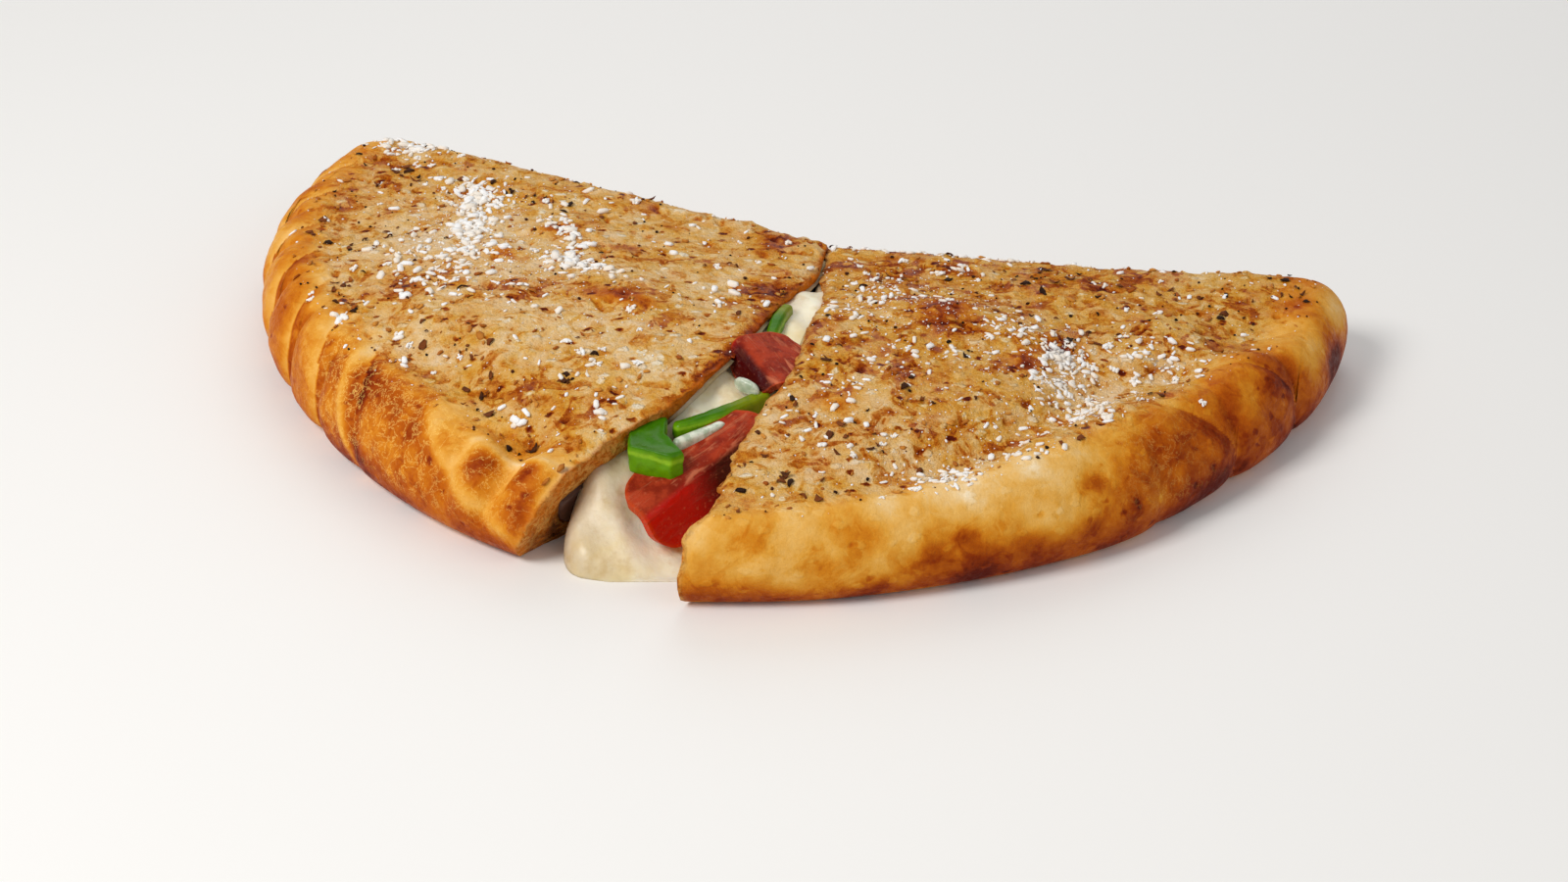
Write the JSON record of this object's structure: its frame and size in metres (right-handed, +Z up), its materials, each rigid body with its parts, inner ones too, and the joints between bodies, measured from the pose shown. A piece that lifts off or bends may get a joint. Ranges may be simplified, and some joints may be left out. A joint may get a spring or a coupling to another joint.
{
  "type": "calzone",
  "caption": "Baked calzone cut across and laid open by a wedge, with melted cheese, sausage, green pepper and onion showing in the cut.",
  "frame": {"origin": "middle of the footprint, on the surface that the calzone lies on", "axes": "+X along the length from the left half to the right half, +Y from the open cut to the folded edges, +Z up"},
  "size_m": [0.289, 0.2212, 0.0338],
  "materials": {
    "crust": "satin",
    "cheese": "satin",
    "pepperoni": "satin",
    "green_pepper": "satin",
    "onion": "satin"
  },
  "bodies": {
    "root": {"crust_left": "crust", "crust_right": "crust", "cheese": "cheese", "pepperoni_front": "pepperoni", "pepperoni_back": "pepperoni", "pepper_chunk": "green_pepper", "pepper_strip": "green_pepper", "pepper_back_strip": "green_pepper", "onion_front": "onion", "onion_back": "onion"}
  },
  "joints": []
}
